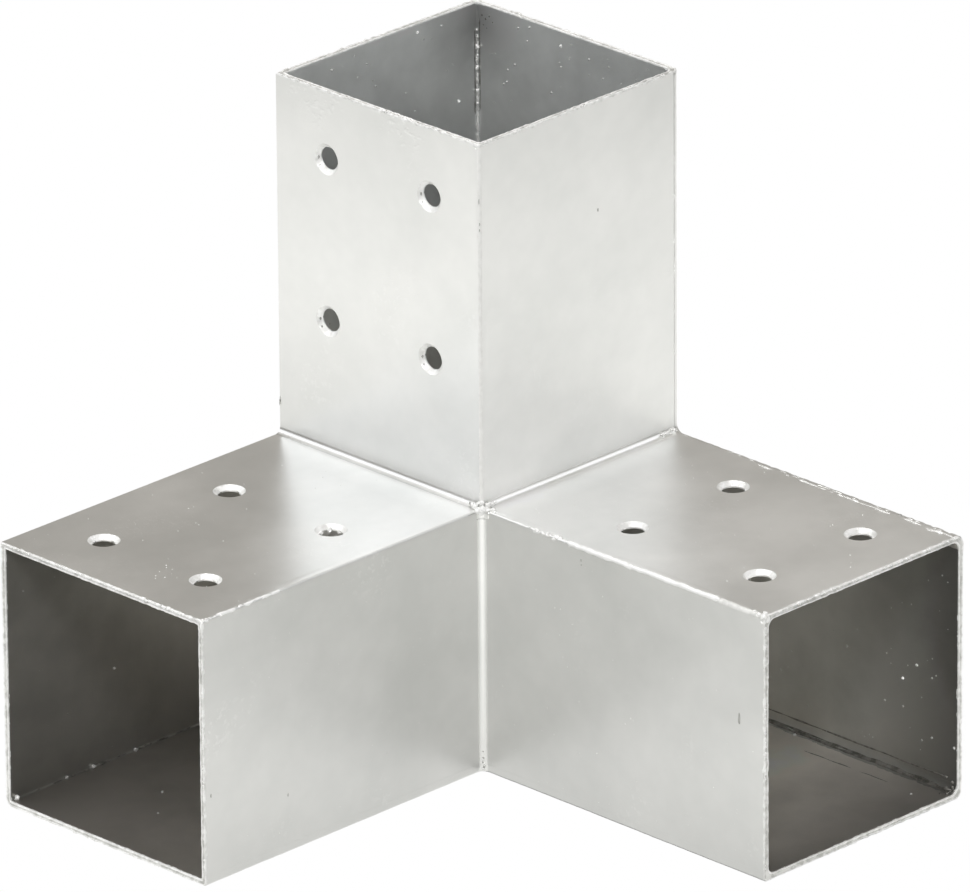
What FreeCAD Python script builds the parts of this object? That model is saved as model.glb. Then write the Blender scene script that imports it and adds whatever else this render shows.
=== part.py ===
import FreeCAD, Part
import math
import os

# Three-way corner connector for square timber posts, welded from sheet steel.
# Three flat L-shaped plates form the outer walls and three bent strips the inner walls.
# Both sets are alike and sit 120 degrees apart about the diagonal of the corner.

# Sleeves
socket_width = 91.0
sleeve_depth = 130.0
sheet = 2.0
bend_radius = 2.5

# Open corner joints, filled by a weld that is rounded outside; round the right arm it is coved inside.
# On the edges that face the user the weld is dressed back to a small radius.
root_gap = 1.0
root_leg = 2.0
dressed_radius = 1.0

# Low bead along the lapped joint of the left wall
lap_bead_width = 3.0
lap_bead_height = 0.6

# Weld puddle on the point where the three bends meet
puddle_radius = 2.8

# Countersunk screw holes, four to a sleeve
hole_diameter = 8.0
countersink_diameter = 11.0
countersink_angle = 90.0
hole_spacing_across = 48.0
hole_spacing_along = 58.0
hole_to_mouth = 25.0

# Sizes that follow from those above
outer = socket_width + 2 * sheet
reach = outer + sleeve_depth
weld_size = sheet + root_gap
bend_start = outer + bend_radius
leg_length = reach - bend_start
inset = outer - weld_size

Vector = FreeCAD.Vector
along_x = Vector(1, 0, 0)
along_y = Vector(0, 1, 0)
along_z = Vector(0, 0, 1)
diagonal = Vector(1, 1, 1)
corner = Vector(0, 0, 0)


def turned(shape, steps):
    """A copy turned about the corner's diagonal, which takes X to Y, Y to Z and Z to X."""
    copy = shape.copy()
    copy.rotate(corner, diagonal, 120 * steps)
    return copy


def outline(pieces):
    """A face from points joined by lines; a pair (middle, end) in the list is an arc."""
    edges = []
    start = pieces[0]
    for piece in pieces[1:] + [pieces[0]]:
        if isinstance(piece, tuple):
            middle, end = piece
            edges.append(Part.Arc(start, middle, end).toShape())
        else:
            end = piece
            edges.append(Part.LineSegment(start, end).toShape())
        start = end
    return Part.Face(Part.Wire(edges))


def bend_arc(radius, y, rising):
    """The quarter circle round the bend: from the arm to the upright when rising, or back down."""
    bend_axis = Vector(bend_start, y, bend_start)
    middle = bend_axis - (along_x + along_z) * radius * math.sqrt(0.5)
    end = bend_axis - (along_x if rising else along_z) * radius
    return middle, end


def corner_plate(gap):
    """The flat L-shaped wall in the plane y = 0; gap is the root gap to its bent strip."""
    edge = outer - sheet - gap
    profile = outline([
        Vector(weld_size, 0, weld_size),
        Vector(reach, 0, weld_size),
        Vector(reach, 0, edge),
        Vector(bend_start, 0, edge),
        bend_arc(bend_start - edge, 0.0, rising=True),
        Vector(edge, 0, reach),
        Vector(weld_size, 0, reach),
    ])
    return profile.extrude(along_y * sheet)


def screw_hole(centre, axis):
    """A through hole with its countersink; centre is on the outer face, axis points outwards."""
    half_angle = math.radians(countersink_angle / 2)
    sink_depth = (countersink_diameter - hole_diameter) / 2 / math.tan(half_angle)
    drill = Part.makeCylinder(hole_diameter / 2, 2 * sheet, centre + axis * sheet / 2, -axis)
    sink = Part.makeCone(countersink_diameter / 2, hole_diameter / 2, sink_depth, centre, -axis)
    return drill.fuse(sink)


def hole_pattern(place, axis):
    """Four holes; place gives a point on the outer face from its distances along and across."""
    first_row = reach - hole_to_mouth
    holes = []
    for along in (first_row, first_row - hole_spacing_along):
        for across in (outer / 2 - hole_spacing_across / 2, outer / 2 + hole_spacing_across / 2):
            holes.append(screw_hole(place(along, across), axis))
    return holes


def bent_strip(first_edge, drill_lying_leg, drill_standing_leg):
    """A strip bent along the concave edge: its lying leg tops an arm, its standing leg rises."""
    profile = outline([
        Vector(reach, first_edge, outer),
        Vector(bend_start, first_edge, outer),
        bend_arc(bend_radius, first_edge, rising=True),
        Vector(outer, first_edge, reach),
        Vector(outer - sheet, first_edge, reach),
        Vector(outer - sheet, first_edge, bend_start),
        bend_arc(bend_radius + sheet, first_edge, rising=False),
        Vector(reach, first_edge, outer - sheet),
    ])
    strip = profile.extrude(along_y * (inset - first_edge))
    holes = []
    if drill_lying_leg:
        holes += hole_pattern(lambda along, across: Vector(along, across, outer), along_z)
    if drill_standing_leg:
        holes += hole_pattern(lambda along, across: Vector(outer, across, along), along_x)
    for hole in holes:
        strip = strip.cut(hole)
    return strip


def corner_section(apex, first, second, dressed=False, coved=False):
    """Section of an open corner weld; first and second point inwards along the two walls."""
    def at(a, b):
        return apex + first * a + second * b

    if dressed:
        middle = dressed_radius * (1 - math.sqrt(0.5))
        arc = (at(middle, middle), at(0, dressed_radius))
        outside = [at(weld_size, 0), at(dressed_radius, 0), arc, at(0, weld_size)]
    else:
        middle = weld_size * (1 - math.sqrt(0.5))
        outside = [at(weld_size, 0), (at(middle, middle), at(0, weld_size))]
    if coved:
        toe = weld_size + root_leg
        cove_middle = toe - (toe - sheet) * math.sqrt(0.5)
        inside = [at(sheet, toe), (at(cove_middle, cove_middle), at(toe, sheet))]
    else:
        inside = [at(sheet, sheet)]
    return outline(outside + [at(sheet, weld_size)] + inside + [at(weld_size, sheet)])


def rear_seam(coved):
    """Weld along the rear edge of the upright, above the corner where three such edges meet."""
    section = corner_section(Vector(0, 0, weld_size), along_x, along_y, coved=coved)
    return section.extrude(along_z * (reach - weld_size))


def front_seam(coved):
    """Weld along the front edge of the upright, from the point where the bends meet to the mouth."""
    section = corner_section(Vector(outer, outer, outer), -along_x, -along_y, dressed=True, coved=coved)
    return section.extrude(along_z * sleeve_depth)


def lap_section():
    """Section of the low bead on the outer face, over the joint of plate and strip."""
    seam = outer - sheet
    half = lap_bead_width / 2
    return outline([
        Vector(bend_start, 0, seam + half),
        (Vector(bend_start, -lap_bead_height, seam), Vector(bend_start, 0, seam - half)),
    ])


def wall_seam(section):
    """A weld along an arm, round the bend and up the upright; section stands at the bend's start."""
    arm_run = section.extrude(along_x * leg_length)
    bend_axis = Vector(bend_start, 0, bend_start)
    round_run = section.revolve(bend_axis, along_y, 90)
    upright_run = section.copy()
    upright_run.rotate(bend_axis, along_y, 90)
    upright_run = upright_run.extrude(along_z * leg_length)
    return arm_run.fuse([round_run, upright_run]).removeSplitter()


def open_seam(dressed, coved):
    """Weld between a strip and the outer wall that stands off from it by the root gap."""
    return wall_seam(corner_section(Vector(bend_start, 0, outer), along_y, -along_z, dressed, coved))


# Outer walls: the left one is lapped by its strip, the other two stand off by the root gap
left_wall_plate = corner_plate(0.0)
floor_plate = turned(corner_plate(root_gap), 1)
right_wall_plate = turned(corner_plate(root_gap), 2)

# Inner walls: eight holes, no holes and four holes
left_top_strip = bent_strip(0.0, drill_lying_leg=True, drill_standing_leg=True)
inner_side_strip = turned(bent_strip(weld_size, drill_lying_leg=False, drill_standing_leg=False), 1)
right_top_strip = turned(bent_strip(weld_size, drill_lying_leg=False, drill_standing_leg=True), 2)

# Welds along the three outer edges, which meet in a rounded corner
corner_ball = Part.makeSphere(weld_size, Vector(weld_size, weld_size, weld_size))
corner_cube = Part.makeBox(weld_size, weld_size, weld_size)
weld_rear_upright = rear_seam(coved=False).fuse(corner_ball.common(corner_cube)).removeSplitter()
weld_rear_left = turned(rear_seam(coved=False), 1)
weld_rear_right = turned(rear_seam(coved=True), 2)

# The puddle plugs the corner that the strips leave open and stands proud between the bends
plug = Part.makeBox(weld_size, weld_size, weld_size, Vector(inset, inset, inset))
puddle = Part.makeSphere(puddle_radius, Vector(outer, outer, outer), diagonal)
weld_front_corner = plug.fuse(puddle)

# Welds along the three front edges, which run out of the puddle
weld_front_upright = front_seam(coved=False).cut(weld_front_corner)
weld_front_left = turned(front_seam(coved=False), 1).cut(weld_front_corner)
weld_front_right = turned(front_seam(coved=True), 2).cut(weld_front_corner)

# Welds between the strips and the outer walls, each round one concave corner
weld_left_wall = wall_seam(lap_section())
weld_floor = turned(open_seam(dressed=True, coved=False), 1)
weld_right_wall = turned(open_seam(dressed=False, coved=True), 2)

nodes = {
    "left_wall_plate": left_wall_plate,
    "right_wall_plate": right_wall_plate,
    "floor_plate": floor_plate,
    "left_top_strip": left_top_strip,
    "right_top_strip": right_top_strip,
    "inner_side_strip": inner_side_strip,
    "weld_rear_upright": weld_rear_upright,
    "weld_rear_left": weld_rear_left,
    "weld_rear_right": weld_rear_right,
    "weld_front_upright": weld_front_upright,
    "weld_front_left": weld_front_left,
    "weld_front_right": weld_front_right,
    "weld_left_wall": weld_left_wall,
    "weld_right_wall": weld_right_wall,
    "weld_floor": weld_floor,
    "weld_front_corner": weld_front_corner,
}

# The origin is on the axis of the upright sleeve, at the underside
os.makedirs("parts", exist_ok=True)
for name, shape in nodes.items():
    shape.translate(Vector(-outer / 2, -outer / 2, 0))
    shape.exportStep("parts/" + name + ".step")
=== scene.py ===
import math
import random

import bmesh
import bpy
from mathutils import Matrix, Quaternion, Vector, noise


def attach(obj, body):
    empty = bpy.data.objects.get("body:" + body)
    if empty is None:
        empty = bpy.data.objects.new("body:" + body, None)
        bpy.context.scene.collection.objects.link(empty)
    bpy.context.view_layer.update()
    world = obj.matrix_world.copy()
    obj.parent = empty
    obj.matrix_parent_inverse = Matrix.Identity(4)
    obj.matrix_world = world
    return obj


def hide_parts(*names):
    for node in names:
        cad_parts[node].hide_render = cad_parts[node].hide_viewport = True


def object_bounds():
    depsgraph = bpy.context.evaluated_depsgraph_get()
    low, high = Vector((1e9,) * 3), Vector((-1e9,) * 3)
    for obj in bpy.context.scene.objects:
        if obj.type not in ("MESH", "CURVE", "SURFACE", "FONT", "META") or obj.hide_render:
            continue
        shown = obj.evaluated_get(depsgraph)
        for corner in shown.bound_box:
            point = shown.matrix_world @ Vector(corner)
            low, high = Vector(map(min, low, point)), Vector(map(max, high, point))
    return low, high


# Sizes of the part in millimetres, measured from its outer rear corner
MM = 0.001
SHEET = 2.0
OUTER = 95.0
REACH = 225.0
WELD = 3.0
COVE = 3.0
DRESSED = 1.0
BEND_RADIUS = 2.5
BEND_START = OUTER + BEND_RADIUS
HOLE_ROWS = (142.0, 200.0)
HOLE_COLUMNS = (23.5, 71.5)
COUNTERSINK = 11.0
ALONG_X = Vector((1, 0, 0))
ALONG_Y = Vector((0, 1, 0))
ALONG_Z = Vector((0, 0, 1))

# Dull zinc inside the arms and bluish zinc inside the upright, partly the zinc's own colour, partly painted
# shade in the arms and painted light in the upright
DULL_AND_SHADED = (0.60, 0.595, 0.565)
BLUISH_AND_LIT = (0.87, 0.885, 0.88)

# Light of the two softboxes, cooler than the room's
COOL = (0.955, 0.985, 1.035)

# The sheets stop this far short of the mouths, where the zinc on their cut edges takes over
RIM_DEPTH = 0.9

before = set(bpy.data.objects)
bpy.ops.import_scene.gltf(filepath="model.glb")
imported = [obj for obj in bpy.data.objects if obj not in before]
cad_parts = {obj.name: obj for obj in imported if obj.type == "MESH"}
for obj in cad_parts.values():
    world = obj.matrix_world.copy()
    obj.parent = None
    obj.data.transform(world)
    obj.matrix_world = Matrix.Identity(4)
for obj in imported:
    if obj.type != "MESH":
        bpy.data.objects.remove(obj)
cad_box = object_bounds()


def place(point):
    """A point in millimetres from the outer rear corner, in the frame's metres and inside the CAD box."""
    margin = 0.02 * MM
    spot = Vector((point[0] - OUTER / 2, point[1] - OUTER / 2, point[2])) * MM
    low, high = cad_box
    return Vector(max(low[i] + margin, min(high[i] - margin, spot[i])) for i in range(3))


def turned(point, steps):
    """The point turned about the corner's diagonal, which takes X to Y, Y to Z and Z to X."""
    for _ in range(steps):
        point = Vector((point[2], point[0], point[1]))
    return point


def lump(point, size, seed):
    """Smooth noise from -1 to 1 whose lumps are about that size."""
    return noise.noise(Vector(point) / size + Vector((17.3 * seed, 5.1 * seed, 0.7)))


def fade(value, low, high):
    """0 below low, 1 above high and smooth between."""
    share = max(0.0, min(1.0, (value - low) / (high - low)))
    return share * share * (3 - 2 * share)


class Skin:
    """A mesh in the making, from rings of points, ropes and blobs."""

    def __init__(self):
        self.points = []
        self.faces = []

    def rings(self, rings, loop=False):
        """A skin over the rings, closed into a loop or capped at both ends."""
        first = len(self.points)
        size = len(rings[0])
        for ring in rings:
            self.points += ring
        for i in range(len(rings) if loop else len(rings) - 1):
            near = first + i * size
            far = first + (i + 1) % len(rings) * size
            for j in range(size):
                k = (j + 1) % size
                self.faces.append((near + j, near + k, far + k, far + j))
        if not loop:
            self.faces.append(tuple(range(first + size - 1, first - 1, -1)))
            last = first + (len(rings) - 1) * size
            self.faces.append(tuple(range(last, last + size)))

    def rope(self, path, radius, seed, rough=0.35, size=1.6, sides=8):
        """A lumpy rope of zinc along the path's points, tapered to its ends."""
        rings = []
        for i, centre in enumerate(path):
            ahead = (path[min(i + 1, len(path) - 1)] - path[max(i - 1, 0)]).normalized()
            across = ahead.orthogonal().normalized()
            other = ahead.cross(across)
            end = min(1.0, (min(i, len(path) - 1 - i) + 0.5) / 3)
            ring = []
            for k in range(sides):
                angle = 2 * math.pi * k / sides
                way = across * math.cos(angle) + other * math.sin(angle)
                swell = 1 + rough * 2 * lump(centre + way * radius, size, seed)
                ring.append(centre + way * radius * max(0.2, swell) * end)
            rings.append(ring)
        self.rings(rings)

    def blob(self, centre, radii, seed, rough=0.25):
        """A lumpy drop of zinc with those half sizes along X, Y and Z."""
        ball = bmesh.new()
        bmesh.ops.create_icosphere(ball, subdivisions=2 if max(radii) < 0.5 else 3, radius=1.0)
        first = len(self.points)
        for vertex in ball.verts:
            way = vertex.co.copy()
            way *= 1 + rough * 2 * lump(way * 1.3, 1.0, seed)
            self.points.append(Vector(centre) + Vector(w * r for w, r in zip(way, radii)))
        ball.faces.ensure_lookup_table()
        for face in ball.faces:
            self.faces.append(tuple(first + vertex.index for vertex in face.verts))
        ball.free()

    def piece(self, name, material, slot, *nodes):
        """The finished piece, which stands for the named CAD nodes, if any."""
        mesh = bpy.data.meshes.new(name)
        mesh.from_pydata([place(point) for point in self.points], [], self.faces)
        shape = bmesh.new()
        shape.from_mesh(mesh)
        bmesh.ops.recalc_face_normals(shape, faces=shape.faces)
        shape.to_mesh(mesh)
        shape.free()
        mesh.shade_smooth()
        return add_piece(name, mesh, material, slot, *nodes)


def add_piece(name, mesh, material, slot, *nodes):
    """A piece of the part with that mesh, on the part's one body."""
    mesh.materials.clear()
    mesh.materials.append(material)
    piece = bpy.data.objects.new(name, mesh)
    bpy.context.scene.collection.objects.link(piece)
    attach(piece, "root")
    if nodes:
        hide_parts(*nodes)
    return piece


def make_sheet(node, material, bend_material, sink_material):
    """The CAD sheet with its bend in a zinc of its own, whose painted shade sets the bend's brightness, rough
    countersinks and cut edges drawn back under the rims.
    """
    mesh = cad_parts[node].data.copy()
    mouths = [REACH - OUTER / 2, REACH - OUTER / 2, REACH]
    for vertex in mesh.vertices:
        for axis, mouth in enumerate(mouths):
            if vertex.co[axis] > (mouth - 0.01) * MM:
                vertex.co[axis] -= RIM_DEPTH * MM
    add_piece("zinc_" + node, mesh, material, "zinc_sheet", node)
    mesh.materials.append(bend_material)
    mesh.materials.append(sink_material)
    for face in mesh.polygons:
        spot = face.center / MM + Vector((OUTER / 2, OUTER / 2, 0))
        if max(abs(way) for way in face.normal) < 0.99:
            face.material_index = 2 if near_hole(spot) else 1


def near_hole(spot):
    """Whether a point on a sheet lies within a screw hole or its countersink."""
    for axis in range(3):
        others = [spot[i] for i in range(3) if i != axis]
        for along, across in (others, others[::-1]):
            row = min(abs(along - row) for row in HOLE_ROWS)
            column = min(abs(across - column) for column in HOLE_COLUMNS)
            if math.hypot(row, column) < COUNTERSINK / 2 + 0.1 and abs(spot[axis] - OUTER) < SHEET + 0.1:
                return True
    return False


def corner_ring(apex, first, second, radius, coved):
    """Points round the section of a corner weld and the ways they bulge; radius is of its outside."""
    outline = [(WELD + 0.7, 0.1, 0, 0), (WELD + 0.3, -0.01, 0, 0), (WELD, -0.02, 0, -0.2)]
    outline += [((WELD + radius) / 2, -0.01, 0, -0.7)]
    for k in range(11):
        sine, cosine = math.sin(k * math.pi / 20), math.cos(k * math.pi / 20)
        outline.append((radius * (1 - sine), radius * (1 - cosine), -sine, -cosine))
    outline += [(b, a, n, m) for a, b, m, n in reversed(outline[:4])]
    if coved:
        toe = SHEET + COVE
        outline.append((SHEET - 0.1, toe + 0.4, 0, 0))
        for k in range(9):
            sine, cosine = math.sin(k * math.pi / 16), math.cos(k * math.pi / 16)
            outline.append((toe - COVE * cosine, toe - COVE * sine, cosine, sine))
        outline.append((toe + 0.4, SHEET - 0.1, 0, 0))
    else:
        ease = 0.5
        outline += [(SHEET - 0.1, WELD + 0.7, 0, 0), (SHEET, WELD, 1, 0), (SHEET, SHEET + ease, 1, 0)]
        outline += [(SHEET + 0.3 * ease, SHEET + 0.3 * ease, 0.7, 0.7)]
        outline += [(SHEET + ease, SHEET, 0, 1), (WELD, SHEET, 0, 1), (WELD + 0.7, SHEET - 0.1, 0, 0)]
    return [(apex + first * a + second * b, first * m + second * n) for a, b, m, n in outline]


def straight_run(start, way, first, second, length):
    """Stations of a straight seam: its edge, the two directions into the walls and the distance run."""
    count = round(length / 0.5)
    return [(start + way * (length * i / count), first, second, length * i / count) for i in range(count + 1)]


def round_run():
    """Stations of a seam along an arm, round the bend and up the upright; the distance is 0 at the bend."""
    leg = REACH - RIM_DEPTH - BEND_START
    arm = straight_run(Vector((BEND_START, 0, OUTER)), ALONG_X, ALONG_Y, -ALONG_Z, leg)
    stations = [(edge, first, second, -run) for edge, first, second, run in reversed(arm)]
    axis = Vector((BEND_START, 0, BEND_START))
    for k in range(1, 12):
        angle = k * math.pi / 24
        second = Vector((-math.sin(angle), 0, -math.cos(angle)))
        stations.append((axis + second * BEND_RADIUS, ALONG_Y, second, 0.0))
    return stations + straight_run(Vector((OUTER, 0, BEND_START)), ALONG_Z, ALONG_Y, -ALONG_X, leg)


def make_corner_weld(node, stations, steps, seed, material, coved=False, radius=None, rough=None):
    """A corner weld with a lumpy skin; radius and rough say how it changes along its run."""
    radius = radius or (lambda run: WELD)
    rough = rough or (lambda run: 0.1)
    rings = []
    for edge, first, second, run in stations:
        ring = []
        for point, out in corner_ring(edge, first, second, radius(run), coved):
            swell = rough(run) * (lump(point, 2.6, seed) + 0.6 * lump(point, 1.1, seed + 1))
            wave = 0.06 * lump(point, 9.0, seed + 2)
            ring.append(turned(point + out * (swell + wave), steps))
        rings.append(ring)
    skin = Skin()
    skin.rings(rings)
    return skin.piece("zinc_" + node, material, "zinc_weld", node)


def right_edge_radius(run):
    """The right arm's front edge is sharp by the puddle, rounder midway and roundest at the mouth."""
    return DRESSED * (0.7 + 0.5 * fade(run, 30, 45) - 0.3 * fade(run, 66, 80) + 0.8 * fade(run, 96, 112))


def repaint(piece, way, material, near=0.7, beyond=0.0):
    """Another material for faces that look that way, within an angle of that cosine, beyond a reach."""
    piece.data.materials.append(material)
    for face in piece.data.polygons:
        spot = face.center / MM + Vector((OUTER / 2, OUTER / 2, 0))
        if face.normal.dot(way) > near and max(spot) > beyond:
            face.material_index = len(piece.data.materials) - 1


def make_camera():
    """A long lens at the photograph's viewing angle, rolled by the little the photograph is."""
    image_width = 970
    pixels_per_radian = 14950
    target = Vector((11.5, 13.5, 96.9)) * MM
    distance = 5.0
    azimuth, elevation, roll = (math.radians(angle) for angle in (134.81, 22.77, -0.4))
    back = Vector((math.sin(azimuth) * math.cos(elevation),
                   -math.cos(azimuth) * math.cos(elevation),
                   math.sin(elevation)))
    data = bpy.data.cameras.new("camera")
    data.sensor_width = 36.0
    data.lens = data.sensor_width * pixels_per_radian / image_width
    data.clip_end = 100.0
    camera = bpy.data.objects.new("camera", data)
    camera.location = target + back * distance
    camera.rotation_mode = "QUATERNION"
    level = (-back).to_track_quat("-Z", "Y")
    camera.rotation_quaternion = level @ Quaternion((0, 0, 1), roll)
    bpy.context.scene.collection.objects.link(camera)
    bpy.context.scene.camera = camera


class Nodes:
    """A node tree with short ways to add nodes and link them."""

    def __init__(self, owner):
        owner.use_nodes = True
        self.tree = owner.node_tree
        self.tree.nodes.clear()

    def add(self, kind, settings=None, **inputs):
        """A node of that kind; inputs are values or other nodes' sockets, by the input's name."""
        node = self.tree.nodes.new(kind)
        for name, value in (settings or {}).items():
            setattr(node, name, value)
        for name, value in inputs.items():
            self.set(node, name.replace("_", " "), value)
        return node

    def set(self, node, name, value):
        socket = node.inputs[int(name) if name.isdigit() else name]
        if isinstance(value, bpy.types.NodeSocket):
            self.tree.links.new(value, socket)
        else:
            socket.default_value = value

    def math(self, operation, first, second=0.0):
        node = self.tree.nodes.new("ShaderNodeMath")
        node.operation = operation
        self.set(node, "0", first)
        self.set(node, "1", second)
        return node.outputs[0]

    def dot(self, first, second):
        node = self.add("ShaderNodeVectorMath", {"operation": "DOT_PRODUCT"})
        self.set(node, "0", first)
        self.set(node, "1", second)
        return node.outputs["Value"]

    def ramp(self, factor, *stops):
        """A colour that runs between two stops, each a position and a colour."""
        node = self.add("ShaderNodeValToRGB", Fac=factor)
        for element, (position, colour) in zip(node.color_ramp.elements, stops):
            element.position = position
            element.color = (*colour, 1)
        return node.outputs["Color"]

    def mix(self, factor, first, second):
        """The first colour where the factor is 0 and the second where it is 1."""
        node = self.add("ShaderNodeMix", {"data_type": "RGBA", "clamp_result": True})
        for name, value in (("0", factor), ("6", first), ("7", second)):
            self.set(node, name, value)
        return node.outputs[2]

    def scale(self, colour, factor):
        """The colour made darker or lighter by the factor."""
        node = self.add("ShaderNodeVectorMath", {"operation": "SCALE"}, Scale=factor)
        self.set(node, "0", colour)
        return node.outputs[0]

    def mix_shaders(self, factor, first, second):
        node = self.add("ShaderNodeMixShader", Fac=factor)
        self.set(node, "1", first.outputs[0])
        self.set(node, "2", second.outputs[0])
        return node.outputs[0]


def make_world():
    """A dim studio round the softboxes, darkest behind the camera, and white where the camera looks."""
    world = bpy.data.worlds.new("studio")
    bpy.context.scene.world = world
    nodes = Nodes(world)
    direction = nodes.add("ShaderNodeTexCoord").outputs["Generated"]
    towards_camera = nodes.dot(direction, (0.7, 0.7, 0.0))
    walls = nodes.ramp(towards_camera, (0.0, (0.385, 0.366, 0.338)), (0.7, (0.12, 0.116, 0.108)))
    studio = nodes.add("ShaderNodeBackground", Color=walls, Strength=1.0)
    white = nodes.add("ShaderNodeBackground", Color=(1, 1, 1, 1), Strength=1.0)
    camera_ray = nodes.add("ShaderNodeLightPath").outputs["Is Camera Ray"]
    nodes.add("ShaderNodeOutputWorld", Surface=nodes.mix_shaders(camera_ray, studio, white))


def make_floor():
    """A light table: white to the camera, and in reflections bright near the part and dim far from it."""
    half = 15.0
    mesh = bpy.data.meshes.new("floor")
    mesh.from_pydata([(-half, -half, 0), (half, -half, 0), (half, half, 0), (-half, half, 0)], [],
                     [(0, 1, 2, 3)])
    floor = bpy.data.objects.new("floor", mesh)
    bpy.context.scene.collection.objects.link(floor)
    material = bpy.data.materials.new("floor_paper")
    nodes = Nodes(material)
    place = nodes.add("ShaderNodeTexCoord").outputs["Object"]
    distance = nodes.add("ShaderNodeVectorMath", {"operation": "LENGTH"})
    nodes.set(distance, "0", place)
    near = nodes.add("ShaderNodeMapRange", {"interpolation_type": "SMOOTHSTEP"},
                     Value=distance.outputs["Value"], From_Min=0.50, From_Max=1.1, To_Min=0.95, To_Max=0.15)
    to_left = nodes.dot(place, (0.7, -0.7, 0.0))
    sides = nodes.add("ShaderNodeMapRange", Value=to_left, From_Min=-0.4, From_Max=0.4,
                      To_Min=1.03, To_Max=1.2)
    glow = nodes.math("MULTIPLY", near.outputs["Result"], sides.outputs["Result"])

    # Soft shadow between the arms
    split = nodes.add("ShaderNodeSeparateXYZ", Vector=place)
    ahead = nodes.math("MINIMUM", split.outputs["X"], split.outputs["Y"])
    clear = nodes.add("ShaderNodeMapRange", {"interpolation_type": "SMOOTHSTEP"},
                      Value=ahead, From_Min=0.045, From_Max=0.15, To_Min=0.76, To_Max=1.0)
    beside = nodes.math("LESS_THAN", ahead, OUTER / 2 * MM)
    glow = nodes.math("MULTIPLY", glow, nodes.math("MAXIMUM", clear.outputs["Result"], beside))

    # Under the right arm hardly any light gets in
    rear, side, reach = -OUTER / 2, OUTER / 2, REACH - OUTER / 2
    under = inside_box(nodes, place, (rear, rear, -1), (side, reach, 1))
    glow = nodes.math("MULTIPLY", glow, nodes.math("SUBTRACT", 1.0, nodes.math("MULTIPLY", under, 0.97)))
    lit = nodes.add("ShaderNodeEmission", Color=(1, 1, 0.975, 1), Strength=glow)
    white = nodes.add("ShaderNodeEmission", Color=(1, 1, 1, 1), Strength=1.0)
    camera_ray = nodes.add("ShaderNodeLightPath").outputs["Is Camera Ray"]
    nodes.add("ShaderNodeOutputMaterial", Surface=nodes.mix_shaders(camera_ray, lit, white))
    mesh.materials.append(material)


def make_softbox(name, place, aim, size, radiance, colour=(1.0, 1.0, 1.0)):
    """A rectangular soft light of that width and height; a white card before it looks that bright."""
    data = bpy.data.lights.new(name, "AREA")
    data.color = colour
    data.shape = "RECTANGLE"
    data.size, data.size_y = size
    data.energy = radiance * math.pi * data.size * data.size_y
    light = bpy.data.objects.new(name, data)
    light.location = place
    light.rotation_mode = "QUATERNION"
    light.rotation_quaternion = (Vector(aim) - light.location).to_track_quat("-Z", "Y")
    bpy.context.scene.collection.objects.link(light)


def inside_box(nodes, place, low, high):
    """1 where a point lies in the box, whose corners are in the frame's axes and in millimetres, else 0."""
    low, high = Vector(low) * MM, Vector(high) * MM
    offset = nodes.add("ShaderNodeVectorMath", {"operation": "SUBTRACT"})
    nodes.set(offset, "0", place)
    nodes.set(offset, "1", (low + high) / 2)
    size = nodes.add("ShaderNodeVectorMath", {"operation": "ABSOLUTE"})
    nodes.set(size, "0", offset.outputs[0])
    split = nodes.add("ShaderNodeSeparateXYZ", Vector=size.outputs[0])
    inside = 1.0
    for axis, half in zip("XYZ", (high - low) / 2):
        inside = nodes.math("MULTIPLY", nodes.math("LESS_THAN", split.outputs[axis], half), inside)
    return inside


def bend_swell(nodes, place, length, slope):
    """Height in metres by which a sheet leaves its plane over a length before its bend, up to a slope."""
    corner = nodes.add("ShaderNodeVectorMath", {"operation": "ADD"})
    nodes.set(corner, "0", place)
    nodes.set(corner, "1", Vector((OUTER / 2, OUTER / 2, 0)) * MM)
    split = nodes.add("ShaderNodeSeparateXYZ", Vector=corner.outputs[0])
    farthest = nodes.math("MAXIMUM", nodes.math("MAXIMUM", split.outputs["X"], split.outputs["Y"]),
                          split.outputs["Z"])
    near = nodes.add("ShaderNodeMapRange", Value=farthest, From_Min=BEND_START * MM,
                     From_Max=(BEND_START + length) * MM, To_Min=1.0, To_Max=0.0)
    cubed = nodes.math("POWER", near.outputs["Result"], 3.0)
    return nodes.math("MULTIPLY", cubed, nodes.math("MULTIPLY", slope, length * MM / 3))


def zinc_tint(nodes, place, shade):
    """The zinc's colour with broad clouds and patches of small dots, then those clouds and dots."""
    clouds = nodes.add("ShaderNodeTexNoise", Vector=place, Scale=17.0, Detail=2.0, Distortion=0.4)
    patches = nodes.add("ShaderNodeTexNoise", Vector=place, Scale=140.0, Detail=4.0)
    cover = nodes.math("ADD", nodes.math("MULTIPLY", clouds.outputs["Fac"], 0.8),
                       nodes.math("MULTIPLY", patches.outputs["Fac"], 0.2))
    dark = [shade * part for part in (0.79, 0.795, 0.78)]
    pale = [shade * part for part in (0.91, 0.91, 0.895)]
    tint = nodes.ramp(cover, (0.35, dark), (0.65, pale))
    regions = nodes.add("ShaderNodeTexNoise", {"noise_dimensions": "4D"}, Vector=place, W=3.0, Scale=24.0)
    spots = nodes.add("ShaderNodeTexNoise", Vector=place, Scale=620.0, Detail=1.0)
    region = nodes.add("ShaderNodeMapRange", Value=regions.outputs["Fac"], From_Min=0.56, From_Max=0.68)
    spot = nodes.add("ShaderNodeMapRange", Value=spots.outputs["Fac"], From_Min=0.56, From_Max=0.68)
    dots = nodes.math("MULTIPLY", region.outputs["Result"], spot.outputs["Result"])
    tint = nodes.mix(nodes.math("MULTIPLY", dots, 0.35), tint, (0.96, 0.96, 0.95, 1))
    return tint, cover, dots


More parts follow.
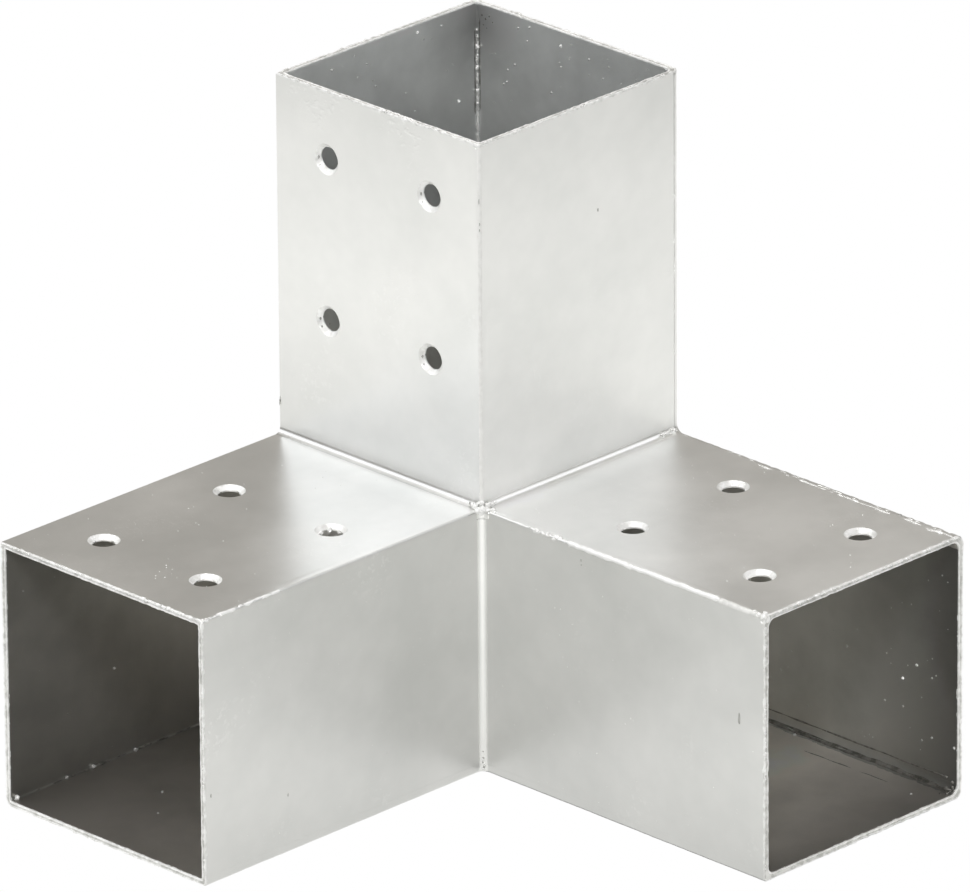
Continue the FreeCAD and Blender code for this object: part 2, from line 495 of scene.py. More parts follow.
def face_shade(nodes, split, lying, foot, line, top_shade):
    """Painted light and shade: a factor that lightens the arms' tops, most near the bend, and darkens the
    upright's foot, with a painted dark line above the bend.
    """
    height = split.outputs["Z"]
    # Painted shade: standing faces darker towards the upright's foot
    standing = nodes.add("ShaderNodeMapRange", Value=height, From_Min=OUTER * MM, From_Max=1.65 * OUTER * MM,
                         To_Min=foot, To_Max=1.0)
    # Painted dark line just above the bend
    above = nodes.add("ShaderNodeMapRange", Value=height, From_Min=(OUTER + 2) * MM,
                      From_Max=(OUTER + 8) * MM, To_Min=line, To_Max=0.0)
    dimmer = nodes.math("MULTIPLY", nodes.math("POWER", above.outputs["Result"], 2.0),
                      nodes.math("GREATER_THAN", height, (OUTER + 2) * MM))
    standing = nodes.math("SUBTRACT", standing.outputs["Result"], dimmer)
    # Painted light: the tops lighter, most near the bend
    from_bend = nodes.math("MAXIMUM", split.outputs["X"], split.outputs["Y"])
    level = nodes.add("ShaderNodeMapRange", Value=from_bend, From_Min=OUTER / 2 * MM,
                      From_Max=(OUTER / 2 + 14) * MM, To_Min=1.12 * top_shade, To_Max=top_shade)
    lift = nodes.add("ShaderNodeMapRange", Value=lying, To_Min=standing, To_Max=level.outputs["Result"])
    return lift.outputs["Result"]


def sleeve_shades(nodes, place, split, tint, cover, in_left, in_right, in_upright):
    """The tint with other colours inside the sleeves, partly painted shade and light, and a factor that is 1
    there and 0 outside.
    """
    rear, near, side, top = -OUTER / 2 + 1, REACH - OUTER / 2 - 0.5, OUTER / 2 - 1, OUTER - 1
    left = inside_box(nodes, place, (rear, rear, 1), (near, side, top))
    right = inside_box(nodes, place, (rear, rear, 1), (side, near, top))
    upright = inside_box(nodes, place, (rear, rear, top), (side, side, REACH - 0.5))

    # Painted light and shade by depth below the mouth: the arms lighter deeper in, the upright darker
    depths = ((left, "X", in_left, 1.08, 0.88), (right, "Y", in_right, 2.4, 0.80),
              (upright, "Z", in_upright, 0.78, 1.06))
    for sleeve, axis, colour, deep, shallow in depths:
        darker = [0.86 * part for part in colour]
        paler = [1.12 * part for part in colour]
        inside = nodes.ramp(cover, (0.38, darker), (0.62, paler))
        mouth = (REACH if axis == "Z" else REACH - OUTER / 2) * MM
        depth = nodes.add("ShaderNodeMapRange", Value=split.outputs[axis],
                          From_Min=mouth - 0.06, From_Max=mouth, To_Min=deep, To_Max=shallow)
        tint = nodes.mix(sleeve, tint, nodes.scale(inside, depth.outputs["Result"]))

    # Painted shade: the left arm and the upright are darker towards their inner corners
    from_left = nodes.math("ADD", split.outputs["Y"], OUTER / 2 * MM)
    from_rear = nodes.math("ADD", split.outputs["X"], OUTER / 2 * MM)
    for sleeve, other, least in ((left, split.outputs["Z"], 0.58), (upright, from_rear, 0.86)):
        from_seam = nodes.math("MAXIMUM", from_left, other)
        gloom = nodes.add("ShaderNodeMapRange", Value=from_seam, From_Max=0.065, To_Min=least, To_Max=1.0)
        outside = nodes.math("SUBTRACT", 1.0, sleeve)
        tint = nodes.scale(tint, nodes.math("MAXIMUM", gloom.outputs["Result"], outside))

    # Painted shade: the upright is darkest beside its rear seam near the mouth, and far down it darkens
    # towards the arms' duller colour
    from_seam = nodes.math("MAXIMUM", from_left, from_rear)
    beside = nodes.add("ShaderNodeMapRange", Value=from_seam, From_Max=0.028, To_Min=0.36, To_Max=0.0)
    high = nodes.add("ShaderNodeMapRange", Value=split.outputs["Z"], From_Min=0.197, From_Max=0.215)
    low = nodes.add("ShaderNodeMapRange", Value=split.outputs["Z"], From_Min=top * MM, From_Max=0.15,
                    To_Min=0.20, To_Max=0.0)
    painted_upright_shade = nodes.math("MULTIPLY", beside.outputs["Result"], high.outputs["Result"])
    painted_upright_shade = nodes.math("MULTIPLY", nodes.math("ADD", painted_upright_shade, low.outputs["Result"]), upright)
    tint = nodes.scale(tint, nodes.math("SUBTRACT", 1.0, painted_upright_shade))
    return tint, nodes.math("MAXIMUM", nodes.math("MAXIMUM", left, right), upright)


def zinc_sheet(name, rough=0.32, shade=1.0, foot=1.0, line=0.0, top_rough=0.32, top_shade=1.0, tilt=0.0,
               ease=0.10, in_left=DULL_AND_SHADED, in_right=DULL_AND_SHADED, in_upright=BLUISH_AND_LIT):
    """Satin hot-dip zinc: rougher tops, dull inside the sleeves, painted light and shade on the tops, the
    upright's foot and inside the sleeves, and eased into its bend.
    """
    material = bpy.data.materials.new(name)
    nodes = Nodes(material)
    place = nodes.add("ShaderNodeTexCoord").outputs["Object"]
    split = nodes.add("ShaderNodeSeparateXYZ", Vector=place)
    normal = nodes.add("ShaderNodeNewGeometry").outputs["True Normal"]
    lying = nodes.math("GREATER_THAN", nodes.dot(normal, (0.0, 0.0, 1.0)), 0.7)
    tint, cover, dots = zinc_tint(nodes, place, shade)
    tint = nodes.scale(tint, face_shade(nodes, split, lying, foot, line, top_shade))
    tint, inner = sleeve_shades(nodes, place, split, tint, cover, in_left, in_right, in_upright)
    metal = nodes.math("SUBTRACT", 0.97, nodes.math("MULTIPLY", inner, 0.17))
    satin = nodes.add("ShaderNodeMapRange", Value=lying, To_Min=rough, To_Max=top_rough)
    uneven = nodes.add("ShaderNodeMapRange", Value=cover, From_Min=0.3, From_Max=0.7,
                       To_Min=-0.04, To_Max=0.04)
    satin = nodes.math("ADD", satin.outputs["Result"], uneven.outputs["Result"])

    # Shading alone: the standing faces ease into the bend, the lying ones tilt and the zinc is grainy
    slope = nodes.math("MULTIPLY", nodes.math("SUBTRACT", 1.0, lying), ease)
    swell = bend_swell(nodes, place, 5.0, slope)
    fall = nodes.math("MULTIPLY", nodes.math("MULTIPLY", split.outputs["X"], lying), tilt)
    swell = nodes.math("SUBTRACT", swell, fall)
    bend = nodes.add("ShaderNodeBump", Height=swell, Strength=1.0, Distance=1.0)
    grain = nodes.add("ShaderNodeTexNoise", Vector=place, Scale=900.0, Detail=2.0)
    rugged = nodes.math("ADD", grain.outputs["Fac"], nodes.math("MULTIPLY", dots, 4.0))
    bump = nodes.add("ShaderNodeBump", Height=rugged, Strength=0.06, Distance=0.0002,
                     Normal=bend.outputs["Normal"])
    shader = nodes.add("ShaderNodeBsdfPrincipled", Base_Color=tint, Metallic=metal, Roughness=satin,
                       Normal=bump.outputs["Normal"])
    nodes.add("ShaderNodeOutputMaterial", Surface=shader.outputs[0])
    return material


def rough_zinc(name, dark, pale, rough=0.5, metal=0.5, scale=420.0):
    """Thick zinc of welds, rims and drops, or the dross beside them, with lumps and small pits."""
    material = bpy.data.materials.new(name)
    nodes = Nodes(material)
    place = nodes.add("ShaderNodeTexCoord").outputs["Object"]
    clouds = nodes.add("ShaderNodeTexNoise", Vector=place, Scale=scale, Detail=4.0)
    grain = nodes.add("ShaderNodeTexNoise", Vector=place, Scale=1300.0, Detail=3.0)
    tint = nodes.ramp(clouds.outputs["Fac"], (0.38, dark), (0.58, pale))
    satin = nodes.add("ShaderNodeMapRange", Value=clouds.outputs["Fac"],
                      To_Min=rough - 0.08, To_Max=rough + 0.08)
    bump = nodes.add("ShaderNodeBump", Height=grain.outputs["Fac"], Strength=0.35, Distance=0.0003)
    shader = nodes.add("ShaderNodeBsdfPrincipled", Base_Color=tint, Metallic=metal,
                       Roughness=satin.outputs["Result"], Normal=bump.outputs["Normal"])
    nodes.add("ShaderNodeOutputMaterial", Surface=shader.outputs[0])
    return material


def make_lap_bead(material, seed):
    """The low bead along the lapped joint of the left wall."""
    rings = []
    for edge, first, second, run in round_run():
        ring = [edge + second * 3.6 + first * 0.2, edge + second * 0.4 + first * 0.2]
        for k in range(11):
            along = 0.5 + 0.3 * k
            height = 0.42 * (1 - (k / 5 - 1) ** 2)
            point = edge + second * along - first * height
            ring.append(point - first * 0.14 * (lump(point, 2.2, seed) + 0.2))
        rings.append(ring)
    skin = Skin()
    skin.rings(rings)
    skin.piece("zinc_weld_left_wall", material, "zinc_weld", "weld_left_wall")


def make_bend_top(material):
    """The short top of the vertical bend, from the edge of its strip to the puddle."""
    hidden = OUTER - 0.4
    end = BEND_START + 0.8
    rings = []
    for height in (91.8, 92.5, 93.2, 93.9, 94.6):
        ring = [(hidden, end), (OUTER, end)]
        for k in range(11):
            sine, cosine = math.sin(k * math.pi / 20), math.cos(k * math.pi / 20)
            ring.append((BEND_START - BEND_RADIUS * cosine, BEND_START - BEND_RADIUS * sine))
        ring += [(end, OUTER), (end, hidden), (hidden, hidden)]
        rings.append([Vector((x, y, height)) for x, y in ring])
    skin = Skin()
    skin.rings(rings)
    skin.piece("zinc_bend_top", material, "zinc_weld")


def mouth_edges(corners):
    """Matched points round a mouth's outer and inner edges; each corner has an outer and inner radius."""
    spots = [Vector((0, 0)), Vector((OUTER, 0)), Vector((OUTER, OUTER)), Vector((0, OUTER))]
    step = 0.3
    runs = []
    for i, spot in enumerate(spots):
        arriving = (spot - spots[i - 1]).normalized()
        leaving = (spots[(i + 1) % 4] - spot).normalized()
        outer_radius, inner_radius = corners[i]
        inner_spot = spot + (leaving - arriving) * SHEET
        count = max(3, round(outer_radius * math.pi / 2 / step))
        arc = []
        for k in range(count + 1):
            angle = math.pi / 2 * k / count
            way = arriving * math.sin(angle) - leaving * math.cos(angle)
            turn = leaving - arriving
            arc.append((spot + (turn + way) * outer_radius, inner_spot + (turn + way) * inner_radius))
        runs.append(arc)
    edges = []
    for i, arc in enumerate(runs):
        edges += arc
        (outer_start, inner_start), (outer_end, inner_end) = arc[-1], runs[(i + 1) % 4][0]
        count = round((outer_end - outer_start).length / step)
        for k in range(1, count):
            edges.append((outer_start.lerp(outer_end, k / count), inner_start.lerp(inner_end, k / count)))
    return edges


def make_rim(name, corners, steps, material, valley_shade_material, seed):
    """Zinc on the cut edges of a mouth: long lumps along the edges' two corners and a valley between, in
    darker zinc as painted shade.
    """
    rings = []
    for outer, inner in mouth_edges(corners):
        wide = (inner - outer).length
        across = (inner - outer) / wide
        section = [(0.35, 1.7, 0, 0), (0.06, 1.3, -0.6, 0), (0.02, 1.0, -1, 0), (0.02, 0.75, -1, 0),
                   (0.08, 0.48, -0.8, 0.6), (0.25, 0.32, -0.3, 1), (0.5, 0.3, 0, 1), (0.72, 0.45, 0, 1)]
        middle = [(wide / 2, 0.6, 0, 1)]
        mirrored = [(wide - a, depth, -m, n) for a, depth, m, n in reversed(section)]
        ring = []
        for a, depth, m, n in section + middle + mirrored:
            spot = outer + across * a
            point = Vector((spot[0], spot[1], REACH - depth))
            heavy = 0.08 + 0.24 * fade(lump(point, 14.0, seed + 3), -0.3, 0.5)
            outside = 1.5 if a < wide / 2 else 0.7
            swell = heavy * outside * (lump(point, 2.4, seed) + 0.8 * lump(point, 1.1, seed + 1) - 0.1)
            push = Vector((across[0] * m, across[1] * m, n))
            ring.append(turned(point + push * swell, steps))
        rings.append(ring)
    skin = Skin()
    skin.rings(rings, loop=True)
    piece = skin.piece("zinc_rim_" + name, material, "zinc_weld")
    # Painted shade: the valley between the lumps in a darker zinc
    piece.data.materials.append(valley_shade_material)
    valley = len(rings[0]) // 2
    for face in piece.data.polygons:
        if face.index % len(rings[0]) in (valley - 1, valley):
            face.material_index = 1


def path_along(start, end, wobble, seed):
    """Points from start to end, half a millimetre apart, that wander sideways by the wobble."""
    start, end = Vector(start), Vector(end)
    count = max(2, round((end - start).length / 0.45))
    points = []
    for i in range(count + 1):
        point = start.lerp(end, i / count)
        drift = Vector(lump(point, 7.0, seed + k) for k in range(3))
        points.append(point + drift * wobble)
    return points


def make_runs(material, bead_material):
    """Beads and drops of zinc on the front edges, the mouths and the right arm, and in the inner corners."""
    skin, chain = Skin(), Skin()
    beads = random.Random(11)
    # Right arm's front edge: a thin rope, a chain of beads, one long bead and the lump at the mouth
    skin.rope(path_along((93.6, 99, 94.7), (94.3, 118, 94.7), 0.3, 1), 0.4, 1, rough=0.6)
    along = 117.0
    while along < 139.0:
        size = beads.uniform(0.5, 0.85)
        chain.blob((94.5 + beads.uniform(-0.9, 0.2), along, 94.5 + beads.uniform(-0.6, 0.3)),
                   (size, size * 1.3, size), along)
        along += beads.uniform(0.7, 1.3)
    skin.rope(path_along((94.5, 134, 94.5), (94.5, 165, 94.5), 0.15, 3), 1.0, 3, rough=0.25, size=2.6)
    skin.rope(path_along((94.45, 163, 94.5), (94.4, 204, 94.5), 0.15, 4), 0.9, 4, rough=0.25, size=3.0)
    for centre, size in (((93.6, 223.4, 93.9), 1.5), ((94.2, 221.3, 94.3), 0.9), ((92.4, 222.6, 94.7), 0.8),
                         ((94.6, 223.2, 92.4), 0.7), ((93.6, 218.9, 94.8), 0.5)):
        skin.blob(centre, (size, size, size), centre[1])
    # Right arm's rear top edge: a thin bead that breaks up, lumps by the mouth and at the end of the bend
    for start, end in ((134, 150), (153, 170), (171, 196), (197, 212), (214, 224)):
        path = path_along((4.2, start, 94.8), (4.2, end, 94.8), 0.4, start)
        chain.rope(path, 0.4, start, rough=0.5, size=3.0)
    for _ in range(9):
        size = beads.uniform(0.4, 0.8)
        chain.blob((beads.uniform(3.2, 5.2), beads.uniform(212, 223), 94.9),
                   (size, size * 2, size * 0.4), beads.random() * 90)
    for _ in range(16):
        size = beads.uniform(0.3, 0.6)
        chain.blob((beads.uniform(3.5, 10.0), beads.uniform(95.4, 96.4), beads.uniform(95.6, 96.6)),
                   (size, size, size), beads.random() * 90)
    # Left arm's front edge: a thin bead and small lumps towards the mouth
    skin.rope(path_along((188, 94.4, 94.5), (223.5, 94.4, 94.4), 0.2, 6), 0.6, 6, rough=0.3, size=3.0)
    for _ in range(16):
        size = beads.uniform(0.25, 0.5)
        skin.blob((beads.uniform(196, 224), 94.6 + beads.uniform(-0.5, 0.2), 94.6 + beads.uniform(-0.3, 0.2)),
                  (size * 1.4, size, size), beads.random() * 90)
    # Front corner: the puddle and the lumps round it
    skin.blob((94.5, 94.5, 95.0), (2.3, 2.3, 2.1), 5)
    for centre, size in (((96.6, 93.4, 96.2), 0.9), ((96.3, 92.2, 96.3), 0.7), ((96.2, 90.6, 96.2), 0.6),
                         ((95.9, 94.6, 97.0), 0.9), ((95.0, 95.4, 97.4), 0.8), ((95.4, 96.4, 95.6), 1.1),
                         ((93.8, 96.5, 96.5), 0.9), ((92.6, 96.5, 96.3), 0.8), ((91.2, 96.4, 96.2), 0.8),
                         ((89.6, 96.2, 96.2), 0.6), ((93.2, 98.6, 95.2), 0.8), ((94.6, 97.6, 95.2), 0.9),
                         ((94.2, 100.4, 95.0), 0.7), ((95.1, 94.9, 93.6), 1.0), ((97.0, 95.0, 94.8), 0.8),
                         ((95.6, 95.6, 94.2), 1.0)):
        skin.blob(centre, (size, size, size), centre[0] * 7)
    # Upright's front corner at the mouth
    for centre, size in (((94.2, 94.0, 224.0), 0.9), ((93.2, 94.6, 223.8), 0.6), ((94.6, 93.4, 222.9), 0.5)):
        chain.blob(centre, (size, size, size * 0.7), centre[1] * 3, rough=0.4)
    # Inner corner of the upright: a thin seam with drops
    chain.rope(path_along((2.4, 2.4, 172), (2.4, 2.4, 213), 0.1, 12), 0.4, 12, rough=0.7)
    for height, size in ((214.6, 0.35), (208.6, 0.75), (205.3, 0.4), (201.0, 0.6), (192.6, 0.5),
                         (188.0, 0.45)):
        skin.blob((2.5, 2.5, height), (size, size, size * 1.4), height)
    # Zinc in the hole of the left arm's top nearest the puddle
    for centre, size in (((140.3, 69.0, 93.7), 0.8), ((143.4, 68.4, 93.5), 0.6), ((139.2, 72.4, 93.5), 0.6)):
        chain.blob(centre, (size, size, size), centre[0], rough=0.4)
    # Foot of the vertical bend
    for centre, size in (((95.7, 95.5, 4.4), 0.5), ((95.4, 95.8, 3.0), 0.45), ((95.6, 95.6, 1.2), 0.6)):
        chain.blob(centre, (size, size, size), centre[2] * 9)
    # Inner corner of the left arm at the mouth
    skin.blob((222.0, 2.6, 2.6), (0.9, 0.9, 0.9), 222.0)
    # Left arm's front corner at the mouth
    for centre, size in (((223.5, 93.8, 94.1), 0.9), ((222.0, 94.4, 94.5), 0.6), ((224.1, 94.3, 92.6), 0.6),
                         ((223.8, 94.5, 90.9), 0.45), ((220.6, 94.5, 94.6), 0.5), ((219.0, 94.5, 94.6), 0.4)):
        skin.blob(centre, (size, size, size), centre[0] * 3, rough=0.4)
    # Small beads on the mouths' outer edges that face the camera, in clusters
    for steps in range(3):
        for side in range(2):
            for _ in range(60):
                along = beads.uniform(3, 92)
                size = beads.uniform(0.2, 0.42)
                spot = (94.6, along, 224.6) if side == 0 else (along, 94.6, 224.6)
                if lump(spot, 16.0, steps + 4) > -0.1:
                    centre = turned(Vector(spot), steps)
                    skin.blob(centre, (size, size, size), along, rough=0.4)
    chain.piece("zinc_beads", bead_material, "zinc_weld")
    skin.piece("zinc_runs", material, "zinc_weld", "weld_front_corner")


def make_dross(material):
    """Dark lines along the seams inside the arms."""
    skin = Skin()
    # Left arm: dashes along the inner corner
    for start, end, size in ((213, 211, 0.35), (205.5, 200.7, 0.2), (198.3, 194, 0.28), (193.3, 187.9, 0.25),
                             (184.5, 178.3, 0.4), (176, 171, 0.2), (166, 159, 0.45), (156.9, 151.4, 0.45),
                             (148, 141, 0.25)):
        skin.rope(path_along((start, 2.3, 2.3), (end, 2.3, 2.3), 0.1, start), size, start, size=2.5)
    # Right arm: along the weld's toe on the wall, along its cove and a scratch on the floor
    skin.rope(path_along((1.95, 100, 6.2), (1.95, 219, 6.2), 0.15, 61), 0.28, 61, size=4.0)
    skin.rope(path_along((3.5, 104, 2.35), (3.5, 223, 2.35), 0.25, 64), 0.5, 64, size=4.0)
    skin.rope(path_along((2.8, 128, 2.9), (2.8, 217, 2.9), 0.25, 73), 0.42, 73, size=5.0)
    skin.rope(path_along((12.0, 158, 1.9), (11.5, 202, 1.9), 0.4, 67), 0.16, 67)
    for centre, radii in (((3.4, 221.0, 2.9), (0.8, 2.0, 0.7)), ((3.0, 223.0, 4.0), (0.5, 0.8, 0.7)),
                          ((2.3, 222.4, 5.4), (0.4, 0.6, 0.6)), ((4.8, 222.6, 2.4), (0.7, 0.7, 0.4)),
                          ((2.1, 219.4, 6.4), (0.25, 0.6, 0.5)), ((6.2, 220.8, 2.1), (0.6, 0.5, 0.25)),
                          ((3.5, 215.6, 3.0), (0.5, 1.6, 0.4))):
        skin.blob(centre, radii, centre[1] - 145)
    # Upright: beside the seam of the inner corner, and flecks by its end
    skin.rope(path_along((2.0, 3.2, 186), (2.0, 3.2, 219), 0.1, 81), 0.2, 81)
    skin.rope(path_along((3.2, 2.0, 184), (3.2, 2.0, 215), 0.1, 84), 0.2, 84)
    for across, height, size in ((4.4, 220.3, 0.35), (6.1, 219.4, 0.45), (5.0, 217.0, 0.3),
                                 (7.8, 220.8, 0.35), (6.6, 216.2, 0.25), (9.4, 219.0, 0.3)):
        skin.blob((2, across, height), (0.12, size, size), across)
    skin.piece("zinc_dross", material, "zinc_weld")


def make_marks(material):
    """Small dull marks on the arms' sides, the upright, the tops and the puddle, with painted shade on one
    side of the countersinks and between the puddle's lumps.
    """
    skin = Skin()
    for centre, radii in (((95, 213.1, 55.4), (0.12, 0.5, 2.2)), ((95, 141.0, 90.2), (0.1, 0.3, 0.5)),
                          ((95, 141.1, 88.6), (0.1, 0.3, 0.35)), ((39.3, 95, 185.7), (0.35, 0.1, 0.6)),
                          ((221.7, 95, 31.8), (0.25, 0.1, 0.7)), ((186.4, 95, 20.7), (0.25, 0.1, 0.6)),
                          ((2.6, 198.4, 95), (0.6, 0.7, 0.2)), ((99.5, 95, 94.6), (1.6, 0.12, 0.15)),
                          ((95.7, 95.7, 5.2), (0.35, 0.35, 0.4)), ((95.9, 95.6, 3.6), (0.3, 0.3, 0.35)),
                          ((95.6, 95.9, 2.1), (0.4, 0.4, 0.4)), ((95.8, 95.7, 7.6), (0.2, 0.2, 0.3)),
                          ((95.0, 0.1, 106.4), (0.25, 0.3, 1.6)), ((94.9, 94.6, 204.6), (0.15, 0.15, 0.9)),
                          ((94.75, 94.75, 196.5), (0.15, 0.15, 0.6)),
                          ((94.8, 94.7, 194.4), (0.15, 0.15, 0.5))):
        skin.blob(centre, radii, centre[1])
    # Painted shade on one side of the upright's countersinks
    for row in HOLE_ROWS:
        for column in HOLE_COLUMNS:
            skin.blob((94.2, column - 4.5, row - 0.5), (0.3, 0.3, 0.5), row + column, rough=0.4)
            skin.blob((94.4, column - 3.6, row - 3.0), (0.2, 0.2, 0.35), row - column, rough=0.4)
    # Painted shade in the gaps between the lumps of the puddle
    for centre in ((96.7, 91.2, 96.6), (96.9, 93.1, 96.6), (96.5, 95.2, 96.9), (95.2, 96.5, 96.9),
                   (93.1, 96.9, 96.6), (91.2, 96.7, 96.6)):
        skin.blob(centre, (0.24, 0.24, 0.6), centre[0])
    skin.piece("zinc_marks", material, "zinc_weld")


def make_specks(bright, dimmer):
    """Small drops of zinc: the large ones of the photograph and a seeded sprinkle, duller inside."""
    drops = [
        (11.1, 2, 191.2, 0.6), (30.3, 2, 221.3, 0.5), (18.9, 2, 220.5, 0.4), (54.5, 2, 216.8, 0.3),
        (70.7, 2, 219.2, 0.4), (36.0, 2, 201.2, 0.3), (31.8, 2, 193.5, 0.3), (50.2, 2, 207.7, 0.3),
        (2, 21.4, 220.2, 0.4), (2, 26.8, 221.8, 0.4), (2, 25.6, 216.6, 0.35), (2, 41.5, 219.1, 0.5),
        (2, 19.8, 206.5, 0.45), (2, 16.5, 203.8, 0.4), (2, 16.0, 199.3, 0.45), (2, 14.6, 198.2, 0.4),
        (2, 41.5, 211.6, 0.35), (2, 54.6, 217.8, 0.4), (2, 37.0, 201.2, 0.4),
        (2, 173.9, 40.1, 0.45), (2, 205.8, 42.8, 0.5), (2, 199.5, 36.2, 0.5), (2, 212.7, 40.2, 0.4),
        (2, 191.4, 25.7, 0.4), (2, 199.6, 26.0, 0.4), (2, 156.0, 12.8, 0.4), (2, 143.5, 22.1, 0.4),
        (2, 212.8, 18.5, 0.45), (2, 208.3, 16.3, 0.4), (2, 223.0, 18.0, 0.5), (4.8, 152.7, 2, 0.5),
        (13.2, 213.9, 2, 0.4), (175.9, 2, 34.9, 0.5), (184.5, 33.1, 2, 0.45), (197.3, 44.3, 2, 0.4),
    ]
    chance = random.Random(7)
    for _ in range(70):
        drops.append((chance.uniform(5, 90), 2, chance.uniform(120, 222), chance.uniform(0.12, 0.28)))
        drops.append((2, chance.uniform(5, 90), chance.uniform(120, 222), chance.uniform(0.12, 0.28)))
        drops.append((2, chance.uniform(110, 222), chance.uniform(6, 88), chance.uniform(0.12, 0.3)))
    for _ in range(20):
        drops.append((chance.uniform(110, 222), 2, chance.uniform(6, 88), chance.uniform(0.12, 0.25)))
    for _ in range(60):
        drops.append((chance.uniform(100, 222), chance.uniform(4, 92), OUTER, chance.uniform(0.08, 0.2)))
        drops.append((chance.uniform(4, 92), chance.uniform(100, 222), OUTER, chance.uniform(0.08, 0.22)))
        drops.append((chance.uniform(100, 222), OUTER, chance.uniform(4, 92), chance.uniform(0.08, 0.18)))
        drops.append((OUTER, chance.uniform(100, 222), chance.uniform(4, 92), chance.uniform(0.08, 0.2)))
    for _ in range(9):
        drops.append((chance.gauss(204.0, 3.0), chance.gauss(57.0, 2.5), OUTER, chance.uniform(0.1, 0.26)))
    clear, dim = Skin(), Skin()
    for index, (x, y, z, size) in enumerate(drops):
        skin = clear if OUTER in (x, y, z) or size > 0.45 else dim
        skin.blob((x, y, z), (size, size, size), index)
    # Inner corner of the left arm: drops between the dark dashes
    for along, size in ((199.1, 0.6), (186.6, 0.7), (167.2, 0.7)):
        dim.blob((along, 2.6, 2.6), (size, size, size), along)
    clear.piece("zinc_specks", bright, "zinc_weld")
    dim.piece("zinc_specks_inside", dimmer, "zinc_weld")


bpy.context.scene.cycles.glossy_bounces = 12
make_camera()
make_world()
make_floor()
make_softbox("left_softbox", (1.5, -1.5, 1.4), (0.0, 0.0, 0.8), (2.4, 1.4), 1.40, COOL)
make_softbox("right_softbox", (-1.5, 1.5, 1.4), (0.0, 0.0, 0.8), (2.4, 1.4), 0.93, COOL)
make_softbox("ceiling", (0.4, -0.4, 2.6), (0.0, 0.0, 0.0), (2.2, 2.2), 1.9)
make_softbox("key", (1.55, 1.5, 2.0), (0.0, 0.0, 0.1), (0.6, 0.6), 30.0)

# Copies of one zinc in painted light and shade: their shade, top_shade, foot and line set how bright each
# group of faces renders
sheet_zinc = zinc_sheet("zinc_sheet", top_shade=1.03, foot=0.83, line=0.15, tilt=0.06)
right_zinc = zinc_sheet("zinc_sheet_right", top_rough=0.42, shade=1.05, foot=0.94, line=0.3)
# Painted shade and light: the left bend in a darker copy, the right and side bends in lighter ones, setting
# how bright their reflections render
left_bend_zinc = zinc_sheet("zinc_left_bend", rough=0.3, top_rough=0.3, shade=0.80)
right_bend_zinc = zinc_sheet("zinc_right_bend", rough=0.33, top_rough=0.33, shade=1.08)
side_bend_zinc = zinc_sheet("zinc_side_bend", rough=0.22, shade=1.08)
weld_zinc = rough_zinc("zinc_weld", (0.82, 0.82, 0.80), (0.97, 0.97, 0.96))
rim_zinc = rough_zinc("zinc_rim", (0.76, 0.76, 0.74), (0.95, 0.95, 0.94), metal=0.35)
valley_shade_zinc = rough_zinc("zinc_valley_shade", (0.52, 0.52, 0.50), (0.76, 0.76, 0.74))
run_zinc = rough_zinc("zinc_run", (0.93, 0.93, 0.92), (0.98, 0.98, 0.97), rough=0.4, metal=0.25)
rough_and_shaded_zinc = rough_zinc("zinc_rough_and_shaded", (0.70, 0.70, 0.68), (0.82, 0.82, 0.80), rough=0.65, metal=0.6)
drop_zinc = rough_zinc("zinc_drop", (0.45, 0.45, 0.44), (0.62, 0.62, 0.61))
edge_highlight_zinc = rough_zinc("zinc_edge_highlight", (0.87, 0.87, 0.85), (0.93, 0.93, 0.91), metal=0.15)
dross = rough_zinc("dross", (0.20, 0.195, 0.18), (0.34, 0.33, 0.31), metal=0.9)
stain_and_shade = rough_zinc("stain_and_shade", (0.40, 0.40, 0.38), (0.55, 0.55, 0.53), metal=0.9)
# Painted shade: the arms' inner sides in a darker copy
side_zinc = zinc_sheet("zinc_inner_side", rough=0.36, shade=0.905)
# Painted shade: the plates' outsides in darker copies; their inside tints are partly duller zinc and partly
# painted shade and light
left_wall_zinc = zinc_sheet("zinc_left_wall", shade=0.88, ease=0.0, in_left=(0.53, 0.52, 0.49),
                            in_upright=(0.92, 0.935, 0.93))
right_wall_zinc = zinc_sheet("zinc_right_wall", shade=0.88, ease=0.0, in_right=(0.255, 0.253, 0.24),
                             in_upright=(0.98, 0.995, 0.99))
floor_zinc = zinc_sheet("zinc_floor", shade=0.88, ease=0.0, in_left=(0.51, 0.48, 0.445),
                        in_right=(0.435, 0.413, 0.388))
sheets = {
    "left_wall_plate": left_wall_zinc,
    "right_wall_plate": right_wall_zinc,
    "floor_plate": floor_zinc,
    "left_top_strip": sheet_zinc,
    "right_top_strip": right_zinc,
    "inner_side_strip": side_zinc,
}
bends = {"left_top_strip": left_bend_zinc, "right_top_strip": right_bend_zinc}
for node, material in sheets.items():
    make_sheet(node, material, bends.get(node, side_bend_zinc), weld_zinc)
make_bend_top(side_bend_zinc)

# Welds along the outer edges; the upright's starts in the rounded corner where the three meet
upright_rear = []
for k in range(7):
    height = 0.2 + 0.4 * k
    edge = WELD - math.sqrt(WELD ** 2 - (WELD - height) ** 2)
    upright_rear.append((Vector((edge, edge, height)), ALONG_X, ALONG_Y, height))
rear = straight_run(Vector((0, 0, WELD)), ALONG_Z, ALONG_X, ALONG_Y, REACH - RIM_DEPTH - WELD)
make_corner_weld("weld_rear_upright", upright_rear + rear, 0, 21, left_wall_zinc)
make_corner_weld("weld_rear_left", rear, 1, 24, left_wall_zinc)
make_corner_weld("weld_rear_right", rear, 2, 27, right_wall_zinc, coved=True)

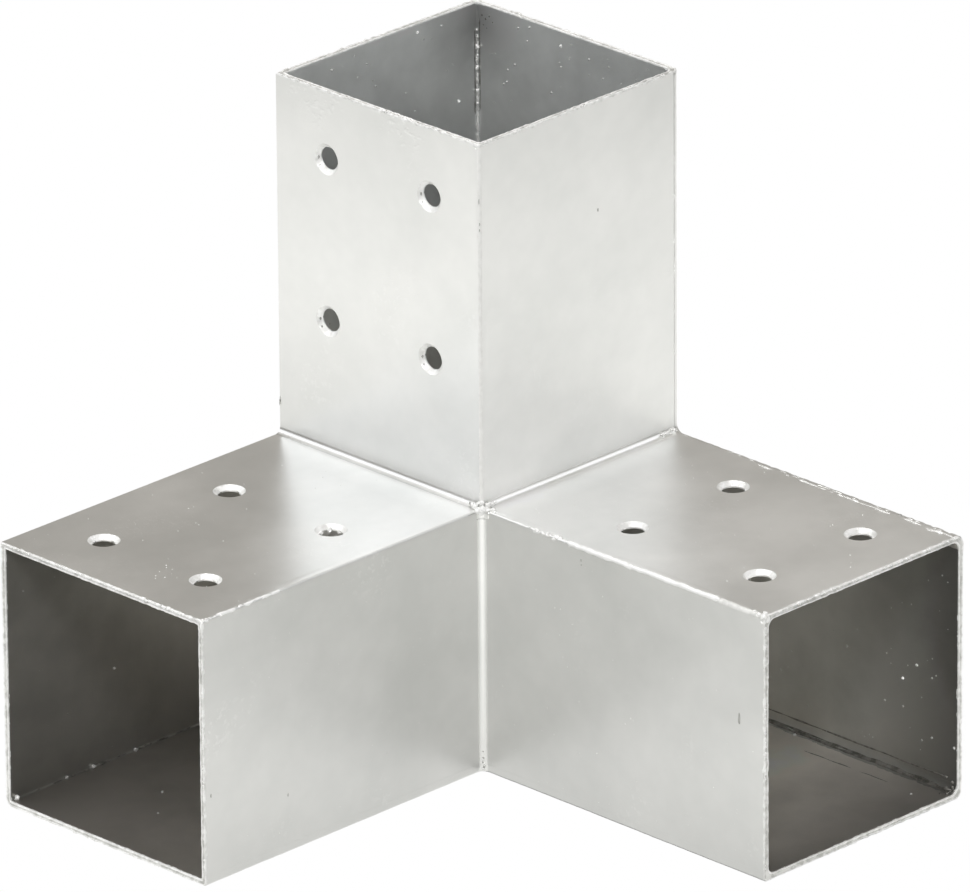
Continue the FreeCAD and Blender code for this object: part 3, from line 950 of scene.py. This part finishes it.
# Welds along the front edges
front = straight_run(Vector((OUTER, OUTER, OUTER)), ALONG_Z, -ALONG_X, -ALONG_Y, REACH - RIM_DEPTH - OUTER)
upright_edge = make_corner_weld("weld_front_upright", front, 0, 31, sheet_zinc,
                                radius=lambda run: DRESSED, rough=lambda run: 0.035)
repaint(upright_edge, ALONG_Y, right_zinc)
# Painted highlight: the rounding between the upright's faces in a pale zinc that renders as a light line
repaint(upright_edge, (ALONG_X + ALONG_Y).normalized(), edge_highlight_zinc, 0.75)
left_edge = make_corner_weld("weld_front_left", front, 1, 34, sheet_zinc, radius=lambda run: 0.8 * DRESSED,
                             rough=lambda run: 0.04 + 0.12 * fade(run, 90, 110))
repaint(left_edge, ALONG_Y, side_zinc)
right_edge = make_corner_weld("weld_front_right", front, 2, 37, right_zinc, coved=True,
                              radius=right_edge_radius,
                              rough=lambda run: 0.12 - 0.05 * fade(run, 60, 75))
repaint(right_edge, ALONG_X, side_zinc)
# Painted shade: the right arm's front edge near the mouth in a darker, rougher zinc that dims its highlight
repaint(right_edge, (ALONG_X + ALONG_Z).normalized(), rough_and_shaded_zinc, 0.8, beyond=203.0)

# Welds round the concave corners
make_lap_bead(weld_zinc, 41)
floor_edge = make_corner_weld("weld_floor", round_run(), 1, 44, side_zinc,
                              radius=lambda run: DRESSED, rough=lambda run: 0.04)
repaint(floor_edge, (ALONG_X + ALONG_Y).normalized(), side_bend_zinc, 0.8)
make_corner_weld("weld_right_wall", round_run(), 2, 47, right_zinc, coved=True,
                 rough=lambda run: 0.06 + 0.1 * fade(run, 8, 14) + 0.15 * fade(run, 108, 116))

square = (0.4, 0.3)
dressed = (DRESSED, 0.3)
closed = (WELD, 0.5)
coved = (WELD, COVE)
make_rim("upright", [closed, square, dressed, coved], 0, rim_zinc, valley_shade_zinc, 51)
make_rim("left", [closed, dressed, dressed, square], 1, rim_zinc, valley_shade_zinc, 55)
make_rim("right", [coved, coved, (2 * DRESSED, COVE), (DRESSED, COVE)], 2, rim_zinc, valley_shade_zinc, 59)
make_runs(run_zinc, weld_zinc)
make_dross(dross)
make_marks(stain_and_shade)
make_specks(weld_zinc, drop_zinc)

bpy.context.scene.view_settings.view_transform = "Standard"
